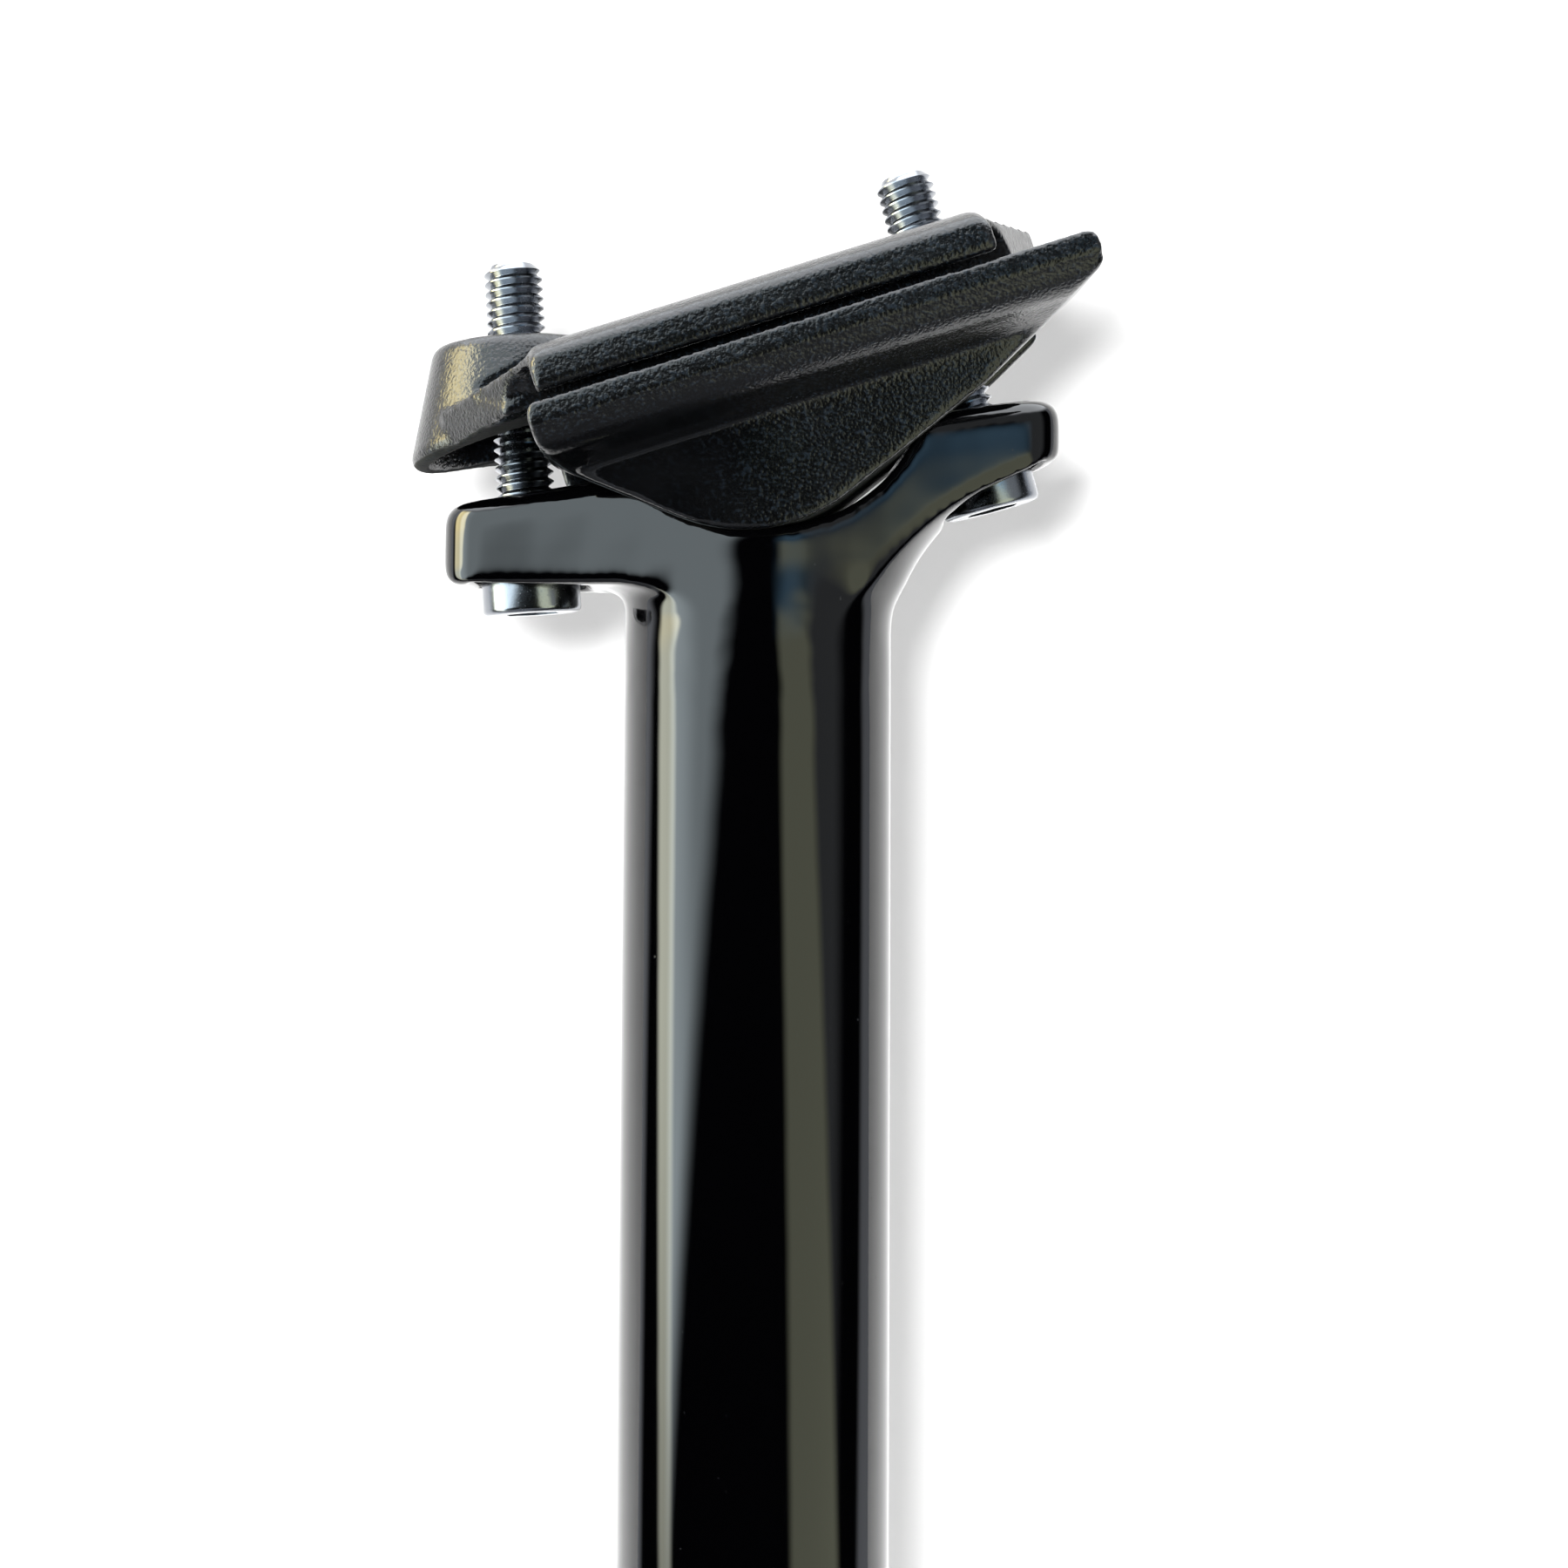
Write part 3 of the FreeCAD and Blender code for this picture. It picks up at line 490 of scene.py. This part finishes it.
def relax(piece, outline, ease, rounds):
    """Smooth a piece only within an outline seen from the side, in mm, with a soft border."""
    places = vertex_rows(piece, "co") / MM
    share = np.clip(side_depth(places[:, 0], places[:, 2], outline) / ease, 0.0, 1.0)
    group = piece.vertex_groups.new(name="eased")
    for index in np.flatnonzero(share > 0.0):
        group.add([int(index)], float(share[index]), "REPLACE")
    modify(piece, "SMOOTH", factor=0.5, iterations=rounds, vertex_group="eased")
    piece.vertex_groups.clear()


def smooth(piece, degrees):
    pick(piece)
    bpy.ops.object.shade_smooth_by_angle(angle=math.radians(degrees))


def dress(piece, material, body, slot, *nodes):
    """Finish a new piece: give it its material, hang it on the body it rides on and hide the solids it
    stands for.
    """
    piece.data.materials.clear()
    piece.data.materials.append(material)
    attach(piece, body)
    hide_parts(*nodes)


def joint_place(name):
    found = [joint for joint in frame["joints"] if joint["name"] == name]
    return Vector(found[0]["pos_m"])


class SEATPOST_OT_post(bpy.types.Operator):
    """Build the lacquered post: a moulded head on a plain tube"""

    bl_idname = "seatpost.post"
    bl_label = "Post"

    seam_gap = 1.0 * MM
    spare_below_seam = 4 * MM
    collar = 3 * MM
    end_ease = 0.35 * MM
    outside_from = 12.9 * MM
    neck_top = 330 * MM
    neck_fade = 11 * MM
    ear_from = 15.4 * MM
    ear_fade = 1.8 * MM
    last_rounds = 12

    def execute(self, context):
        sizes = context.scene.seatpost_sizes
        seam = sizes.seam_height
        piece = merged_copy("post_body", "lacquered_post")
        cut(piece, (0, 0, seam - self.spare_below_seam), (0, 0, 1), fill=True, keep_below=False)
        modify(piece, "REMESH", mode="VOXEL", voxel_size=sizes.head_grid, adaptivity=0.0)
        for rounds in (sizes.head_rounds, self.last_rounds):
            modify(piece, "SMOOTH", factor=0.5, iterations=rounds)
            self.ease_neck(piece, seam)
        cut(piece, (0, 0, seam), (0, 0, 1), keep_below=False)
        tube = self.add_tube(seam)
        pick(piece)
        tube.select_set(True)
        bpy.ops.object.join()
        self.close_seam(piece, seam)
        smooth(piece, 50.0)
        material = lacquer_material(context.scene.seatpost_colours)
        dress(piece, material, "post", "lacquer", "post_body")
        return {"FINISHED"}

    def ease_neck(self, piece, seam):
        """Carry the tube's width on into the head, where it runs out softly."""
        places = vertex_rows(piece, "co")
        across = np.hypot(places[:, 0], places[:, 1])
        height = places[:, 2]
        beside = soft((self.ear_from - across) / self.ear_fade)
        beside[height < seam + self.collar] = 1.0
        beside[across <= self.outside_from] = 0.0
        share = soft((self.neck_top - height) / self.neck_fade) * beside
        scale = 1.0 + (TUBE_RADIUS / np.maximum(across, self.outside_from) - 1.0) * share
        places[:, :2] *= scale[:, np.newaxis]
        move_vertices(piece, places)

    def add_tube(self, seam):
        """The plain tube below the head, with its bore and its eased bottom edges."""
        ease = self.end_ease
        top = seam - self.seam_gap
        rings = (
            (TUBE_RADIUS, top),
            (TUBE_RADIUS, top - self.collar),
            (TUBE_RADIUS, ease),
            (TUBE_RADIUS - ease, 0.0),
            (BORE_RADIUS + ease, 0.0),
            (BORE_RADIUS, ease),
            (BORE_RADIUS, top),
        )
        deselect_all()
        bpy.ops.mesh.primitive_circle_add(vertices=192, radius=TUBE_RADIUS, location=(0, 0, top))
        tube = bpy.context.object
        tube.name = "plain_tube"
        pick(tube)
        bpy.ops.object.transform_apply(location=True, rotation=True, scale=True)
        edit(tube)
        for (radius, height), (next_radius, next_height) in zip(rings, rings[1:]):
            scale = next_radius / radius
            bpy.ops.mesh.extrude_region_move(
                TRANSFORM_OT_translate={"value": (0, 0, next_height - height)}
            )
            bpy.ops.transform.resize(value=(scale, scale, 1.0), center_override=(0, 0, 0))
        done()
        return tube

    def close_seam(self, piece, seam):
        """Join the head's two open rims to the tube's, outside and inside the wall."""
        middle = (TUBE_RADIUS + BORE_RADIUS) / 2
        slack = 0.05 * MM
        for outer in (True, False):
            edit(piece)
            bpy.ops.mesh.select_all(action="DESELECT")
            bpy.ops.mesh.select_mode(type="EDGE")
            bpy.ops.mesh.select_non_manifold(extend=False)
            done()
            for edge in piece.data.edges:
                ends = [piece.data.vertices[index].co for index in edge.vertices]
                level = all(-slack < seam - end.z < self.seam_gap + slack for end in ends)
                side = all((end.xy.length > middle) == outer for end in ends)
                edge.select = edge.select and level and side
            for vertex in piece.data.vertices:
                vertex.select = False
            for edge in piece.data.edges:
                if edge.select:
                    for index in edge.vertices:
                        piece.data.vertices[index].select = True
            bpy.ops.object.mode_set(mode="EDIT")
            bpy.ops.mesh.bridge_edge_loops()
            done()
        edit(piece)
        bpy.ops.mesh.normals_make_consistent(inside=False)
        done()


class SEATPOST_OT_clamp(bpy.types.Operator):
    """Build the lower cradle and the upper clamp as eased, textured forgings"""

    bl_idname = "seatpost.clamp"
    bl_label = "Clamp halves"

    # Outlines seen from the side, in millimetres: the ledge between the cradle's band and its leaf,
    # and the pocket in the arm of the front boss.
    below_band = [
        (-20.5, 333.0), (-20.5, 338.5), (0.0, 345.1), (27.0, 353.8), (27.0, 348.8), (0.0, 340.1),
        (-12.0, 333.0),
    ]
    front_pocket = [(-27.6, 346.9), (-22.5, 349.5), (-22.5, 344.5), (-24.6, 343.6), (-27.2, 344.6)]
    last_rounds = 2

    def execute(self, context):
        sizes = context.scene.seatpost_sizes
        material = coat_material(context.scene.seatpost_colours, sizes)
        cradle = self.forged_copy("lower_cradle", "forged_cradle", sizes.cast_grid, sizes.cast_rounds)
        relax(cradle, self.below_band, ease=2.0, rounds=24)
        yoke = self.forged_copy("upper_clamp", "forged_yoke", sizes.cast_grid, sizes.cast_rounds // 2)
        press(yoke, self.front_pocket, depth=0.5, ease=1.2, inner=6.0)
        for piece, node in ((cradle, "lower_cradle"), (yoke, "upper_clamp")):
            modify(piece, "SMOOTH", factor=0.5, iterations=self.last_rounds)
            smooth(piece, 60.0)
            dress(piece, material, "clamp", "clamp_coat", node)
        return {"FINISHED"}

    def forged_copy(self, node, name, grid, rounds):
        """A copy of a solid in one even skin, with its edges eased."""
        piece = merged_copy(node, name)
        modify(piece, "REMESH", mode="VOXEL", voxel_size=grid, adaptivity=0.0)
        modify(piece, "SMOOTH", factor=0.5, iterations=rounds)
        return piece


class SEATPOST_OT_bolts(bpy.types.Operator):
    """Build both bolts with their cut threads, sockets and eased heads"""

    bl_idname = "seatpost.bolts"
    bl_label = "Bolts"

    shaft_radius = 3.0 * MM
    shaft_length = 30.0 * MM
    head_radius = 5.0 * MM
    head_height = 6.0 * MM
    head_ease = 0.55 * MM
    socket_depth = 3.0 * MM
    socket_flats = 5.0 * MM
    tip_ease = 0.8 * MM
    crest_allowance = 0.03 * MM
    flank_share = 0.42
    crest_share = 0.14
    root_share = 0.02
    thread_steps = 44
    weld = 0.004 * MM
    pivot_below_head = 0.8 * MM

    def execute(self, context):
        sizes = context.scene.seatpost_sizes
        material = zinc_material(context.scene.seatpost_colours)
        for end in ENDS:
            piece = self.add_head(end + "_threaded_bolt")
            thread = self.add_thread(sizes)
            modify(piece, "BOOLEAN", operation="UNION", object=thread, solver="EXACT")
            bpy.data.objects.remove(thread)
            self.seat(piece, end)
            smooth(piece, 35.0)
            dress(piece, material, end + "_bolt_set", "bolt_steel", end + "_bolt")
        return {"FINISHED"}

    def add_head(self, name):
        """A round head with an eased foot and a hexagon socket, standing on z = 0."""
        deselect_all()
        bpy.ops.mesh.primitive_cylinder_add(
            vertices=96, radius=self.head_radius, depth=self.head_height,
            location=(0, 0, self.head_height / 2), end_fill_type="NGON",
        )
        head = bpy.context.object
        head.name = name
        pick(head)
        bpy.ops.object.transform_apply(location=True, rotation=True, scale=True)
        modify(head, "BEVEL", width=self.head_ease, segments=4, limit_method="ANGLE",
               angle_limit=math.radians(60))
        deselect_all()
        bpy.ops.mesh.primitive_cylinder_add(
            vertices=6, radius=self.socket_flats / math.sqrt(3), depth=self.socket_depth * 2,
            location=(0, 0, 0),
        )
        key = bpy.context.object
        modify(head, "BOOLEAN", operation="DIFFERENCE", object=key, solver="EXACT")
        bpy.data.objects.remove(key)
        return head

    def add_thread(self, sizes):
        """A threaded shaft from inside the head to the eased tip."""
        pitch = sizes.thread_pitch
        depth = sizes.thread_depth
        bottom = self.head_height - pitch
        top = self.head_height + self.shaft_length
        turns = math.ceil((top - bottom) / pitch) + 4
        root_radius = self.shaft_radius - self.crest_allowance - depth
        deselect_all()
        bpy.ops.mesh.primitive_plane_add(size=MM, location=(0, 0, 0))
        thread = bpy.context.object
        edit(thread)
        bpy.ops.mesh.merge(type="CENTER")
        bpy.ops.transform.translate(value=(root_radius, 0, bottom - 2 * pitch))
        moves = (
            (depth, self.flank_share),
            (0, self.crest_share),
            (-depth, self.flank_share),
            (0, self.root_share),
        )
        for outwards, rise in moves:
            bpy.ops.mesh.extrude_vertices_move(
                TRANSFORM_OT_translate={"value": (outwards, 0, rise * pitch)}
            )
        done()
        modify(thread, "SCREW", axis="Z", angle=math.tau, screw_offset=pitch, iterations=turns,
               steps=self.thread_steps, render_steps=self.thread_steps, use_merge_vertices=True,
               merge_threshold=self.weld)
        edit(thread)
        bpy.ops.mesh.remove_doubles(threshold=self.weld)
        done()
        cut(thread, (0, 0, bottom), (0, 0, 1), fill=True, keep_below=False)
        cut(thread, (0, 0, top), (0, 0, 1), fill=True, keep_below=True)
        for vertex in thread.data.vertices:
            limit = self.shaft_radius + min(0.0, top - self.tip_ease - vertex.co.z)
            across = vertex.co.xy.length
            if across > limit:
                vertex.co.x *= limit / across
                vertex.co.y *= limit / across
        edit(thread)
        bpy.ops.mesh.normals_make_consistent(inside=False)
        done()
        return thread

    def seat(self, piece, end):
        """Stand a bolt on its own axis, from its washer's pivot to its nut."""
        pivot = joint_place(end + "_bolt_lean")
        axis = (joint_place(end + "_nut_turn") - pivot).normalized()
        foot = pivot + axis * self.pivot_below_head
        turn = Vector((0, 0, 1)).rotation_difference(axis).to_matrix().to_4x4()
        piece.data.transform(Matrix.Translation(foot) @ turn)
        piece.data.update()


class SEATPOST_OT_small_steel(bpy.types.Operator):
    """Give the washers and barrel nuts their steel"""

    bl_idname = "seatpost.small_steel"
    bl_label = "Washers and nuts"

    def execute(self, context):
        colours = context.scene.seatpost_colours
        washer = steel_material("washer steel", colours)
        nut = steel_material("nut steel", colours)
        for end in ENDS:
            for node, material in ((end + "_washer", washer), (end + "_barrel_nut", nut)):
                piece = frame["nodes"][node]
                piece.data.materials.clear()
                piece.data.materials.append(material)
                smooth(piece, 30.0)
        return {"FINISHED"}


class SEATPOST_OT_stage(bpy.types.Operator):
    """Set up the floor, the wall, the light cards, the lamp and the camera"""

    bl_idname = "seatpost.stage"
    bl_label = "Stage"

    camera_place = (-4.141 * MM, -214.224 * MM, 315.501 * MM)
    camera_turn = math.radians(1.816)
    camera_lift = math.radians(3.609)
    camera_roll = math.radians(0.31)
    lens = 48.0
    sensor = 36.0
    rise_of_centre = -240.28 / 1800
    floor_size = 6.0
    floor_drop = 0.2 * MM
    floor_fade = (300 * MM, 600 * MM)
    wall_size = 3.0
    wall_depth = 150 * MM
    tent_height = 310 * MM
    tent_radius = 450 * MM
    lift_scale = 1.14
    daylight = 0.38
    lamp_strength = 50.0
    lamp_radius = 9.0 * MM
    lamp_from_lens = (-11.5 * MM, 0.0, 11.5 * MM)

    def execute(self, context):
        colours = context.scene.seatpost_colours
        self.add_floor(colours)
        self.add_wall(colours)
        self.add_tent(colours)
        self.add_world(context.scene)
        self.add_lamp()
        self.add_camera(context.scene)
        context.scene.view_settings.view_transform = "Standard"
        return {"FINISHED"}

    def add_plane(self, name, size, place, turn=(0, 0, 0)):
        deselect_all()
        bpy.ops.mesh.primitive_plane_add(size=size, location=place, rotation=turn)
        plane = bpy.context.object
        plane.name = name
        return plane

    def add_floor(self, colours):
        """A pale floor that shows the shadow near the seatpost and fades to white farther off."""
        floor = self.add_plane("pale_floor", self.floor_size, (0, 0, -self.floor_drop))
        material, tree, output = new_material("pale floor")
        paint = add_node(
            tree, "ShaderNodeBsdfPrincipled", {},
            {"Base Color": (*colours.floor, 1.0), "Roughness": 0.9}, "BSDF",
        )
        white = add_node(tree, "ShaderNodeEmission", {}, {"Color": (1.0, 1.0, 1.0, 1.0)})
        place = add_node(tree, "ShaderNodeNewGeometry", output="Position")
        distance = add_node(tree, "ShaderNodeVectorMath", {"operation": "LENGTH"}, {0: place}, "Value")
        seen = add_node(tree, "ShaderNodeLightPath")
        far = distance.step(*self.floor_fade) * seen
        mixed = add_node(tree, "ShaderNodeMixShader", {}, {0: far, 1: paint, 2: white})
        tree.links.new(mixed.output, output.inputs["Surface"])
        floor.data.materials.append(material)
        floor.visible_glossy = False

    def add_wall(self, colours):
        """A white wall behind the seatpost that can't be seen from its own back."""
        place = (0, self.wall_depth, self.wall_size / 2)
        wall = self.add_plane("white_wall", self.wall_size, place, (math.pi / 2, 0, 0))
        material, tree, output = new_material("white wall")
        paint = add_node(tree, "ShaderNodeBsdfDiffuse", {}, {"Color": (*colours.wall, 1.0)})
        clear = add_node(tree, "ShaderNodeBsdfTransparent")
        back = add_node(tree, "ShaderNodeNewGeometry", output="Backfacing")
        mixed = add_node(tree, "ShaderNodeMixShader", {}, {0: back, 1: paint, 2: clear})
        tree.links.new(mixed.output, output.inputs["Surface"])
        wall.data.materials.append(material)

    def add_tent(self, colours):
        """A round tent of light and dark cards that only shows in reflections."""
        deselect_all()
        bpy.ops.mesh.primitive_uv_sphere_add(
            segments=96, ring_count=48, radius=self.tent_radius, location=(0, 0, self.tent_height),
        )
        tent = bpy.context.object
        tent.name = "light_tent"
        for flag in ("visible_camera", "visible_diffuse", "visible_shadow", "visible_transmission",
                     "visible_volume_scatter"):
            setattr(tent, flag, False)
        material, tree, output = new_material("light tent")
        centred = add_node(
            tree, "ShaderNodeVectorMath", {"operation": "SUBTRACT"},
            {0: add_node(tree, "ShaderNodeNewGeometry", output="Position"), 1: (0, 0, self.tent_height)},
        )
        across, depth, height = split(tree, centred)
        turn = across.maths("ARCTAN2", depth * -1.0) * math.degrees(1)
        lift = (height / self.tent_radius).maths("ARCSINE") * math.degrees(self.lift_scale)
        total = None
        for name, mask in self.card_masks(turn, lift).items():
            colour = tuple(getattr(colours, name))
            lit = add_node(
                tree, "ShaderNodeVectorMath", {"operation": "SCALE"}, {0: colour, "Scale": mask},
            )
            total = lit if total is None else add_node(
                tree, "ShaderNodeVectorMath", {"operation": "ADD"}, {0: total, 1: lit},
            )
        light = add_node(tree, "ShaderNodeEmission", {}, {"Color": total, "Strength": 1.0})
        tree.links.new(light.output, output.inputs["Surface"])
        tent.data.materials.append(material)

    def card_masks(self, turn, lift):
        """How much of each card's light a place in the tent gives, by the card's name. Both angles are
        in degrees: turn is 0 on the camera's side and grows to the right, and lift grows upwards."""
        level = lift.step(-62.0, -48.0) * (1.0 - lift.step(40.0, 50.0))
        high = lift.step(2.0, 12.0)
        cream_end = high * 10.0 - 77.0
        cream = (turn + lift * 0.12).step(-95.0, -88.5) * (1.0 - (turn - cream_end).step(0.0, 6.0))
        cream = cream * (1.0 - (0.0 - lift).step(10.0, 50.0) * 0.6)
        blue_edge = lift * 1.1 - 32.0
        blue = turn.step(-82.0, -72.0) * (1.0 - (turn - blue_edge).step(-13.0, 8.0))
        blue = blue * (1.1 - turn.step(-72.0, -48.0) * 0.45)
        olive_start = 15.5 - lift * 0.3
        olive_end = 45.5 - lift * 0.7
        olive = (turn - olive_start).step(-1.0, 7.0) * (1.0 - (turn - olive_end).step(-4.0, 5.0))
        olive = olive * (1.0 - lift.step(7.0, 12.0))
        teal = turn.step(8.0, 24.0) * (1.0 - turn.step(27.0, 46.0)) * lift.step(5.0, 13.0)
        teal = teal * (1.0 - lift.step(13.0, 24.0))
        grey = (turn - olive_end).step(-2.0, 4.0) * (1.0 - turn.step(64.0, 80.0))
        rim_edge = lift * 0.22 - 102.0
        in_front = (turn - rim_edge).step(-5.0, 5.0) * (1.0 - turn.step(95.0, 103.0))
        right = turn.step(-20.0, 20.0)
        behind = turn.maths("ABSOLUTE").step(100.0, 150.0)
        rim = (1.25 - right * 0.5) * (1.0 - behind * (0.62 + right * 0.2))
        rim = rim * (0.25 + lift.step(-66.0, -50.0) * 0.75)
        return {
            "cream_card": cream * (1.0 - high) * level,
            "gold_card": cream * high * level,
            "blue_card": blue * level,
            "olive_card": olive * level,
            "teal_card": teal * level,
            "grey_card": grey * level,
            "rim_card": (1.0 - in_front * level) * rim,
            "top_card": lift.step(44.0, 56.0),
        }

    def add_world(self, scene):
        world = bpy.data.worlds.new("soft daylight")
        world.use_nodes = True
        tree = world.node_tree
        tree.nodes.clear()
        output = tree.nodes.new("ShaderNodeOutputWorld")
        light = add_node(
            tree, "ShaderNodeBackground", {},
            {
                "Color": (1.0, 1.0, 1.0, 1.0),
                "Strength": self.daylight + add_node(tree, "ShaderNodeLightPath") * (1.0 - self.daylight),
            },
        )
        tree.links.new(light.output, output.inputs["Surface"])
        scene.world = world

    def add_lamp(self):
        """A small lamp beside the lens, which throws the soft shadow on the wall."""
        data = bpy.data.lights.new("lens lamp", "POINT")
        data.energy = 1.0
        data.shadow_soft_size = self.lamp_radius
        data.use_nodes = True
        tree = data.node_tree
        tree.nodes.clear()
        output = tree.nodes.new("ShaderNodeOutputLight")
        falloff = add_node(
            tree, "ShaderNodeLightFalloff", {}, {"Strength": self.lamp_strength, "Smooth": 0.0}, "Constant",
        )
        glow = add_node(tree, "ShaderNodeEmission", {}, {"Strength": falloff})
        tree.links.new(glow.output, output.inputs["Surface"])
        lamp = bpy.data.objects.new("lens_lamp", data)
        lamp.location = Vector(self.camera_place) + Vector(self.lamp_from_lens)
        lamp.visible_glossy = False
        bpy.context.scene.collection.objects.link(lamp)

    def add_camera(self, scene):
        """The photograph's view: slightly from the left, looking a little upwards."""
        data = bpy.data.cameras.new("camera")
        data.lens = self.lens
        data.sensor_width = self.sensor
        data.shift_y = self.rise_of_centre
        data.clip_start = 5 * MM
        forward = Vector((
            math.sin(self.camera_turn) * math.cos(self.camera_lift),
            math.cos(self.camera_turn) * math.cos(self.camera_lift),
            math.sin(self.camera_lift),
        ))
        level = forward.cross(Vector((0, 0, 1))).normalized()
        upright = level.cross(forward)
        right = level * math.cos(self.camera_roll) + upright * math.sin(self.camera_roll)
        up = upright * math.cos(self.camera_roll) - level * math.sin(self.camera_roll)
        camera = bpy.data.objects.new("camera", data)
        turned = Matrix((right, up, -forward)).transposed().to_4x4()
        camera.matrix_world = Matrix.Translation(self.camera_place) @ turned
        scene.collection.objects.link(camera)
        scene.camera = camera


class SEATPOST_PT_pieces(bpy.types.Panel):
    """Buttons and sizes of the seatpost"""

    bl_label = "Seatpost"
    bl_space_type = "VIEW_3D"
    bl_region_type = "UI"
    bl_category = "Seatpost"

    def draw(self, context):
        layout = self.layout
        for operator in OPERATORS:
            layout.operator(operator.bl_idname)
        for group in (context.scene.seatpost_sizes, context.scene.seatpost_colours):
            for name in group.__annotations__:
                layout.prop(group, name)


OPERATORS = (
    SEATPOST_OT_post,
    SEATPOST_OT_clamp,
    SEATPOST_OT_bolts,
    SEATPOST_OT_small_steel,
    SEATPOST_OT_stage,
)
CLASSES = (SeatpostSizes, SeatpostColours) + OPERATORS + (SEATPOST_PT_pieces,)


def register():
    for cls in CLASSES:
        bpy.utils.register_class(cls)
    bpy.types.Scene.seatpost_sizes = PointerProperty(type=SeatpostSizes)
    bpy.types.Scene.seatpost_colours = PointerProperty(type=SeatpostColours)


def unregister():
    del bpy.types.Scene.seatpost_sizes
    del bpy.types.Scene.seatpost_colours
    for cls in reversed(CLASSES):
        bpy.utils.unregister_class(cls)


def main():
    register()
    bpy.ops.seatpost.post()
    bpy.ops.seatpost.clamp()
    bpy.ops.seatpost.bolts()
    bpy.ops.seatpost.small_steel()
    bpy.ops.seatpost.stage()
    bpy.context.view_layer.update()


if __name__ == "__main__":
    main()
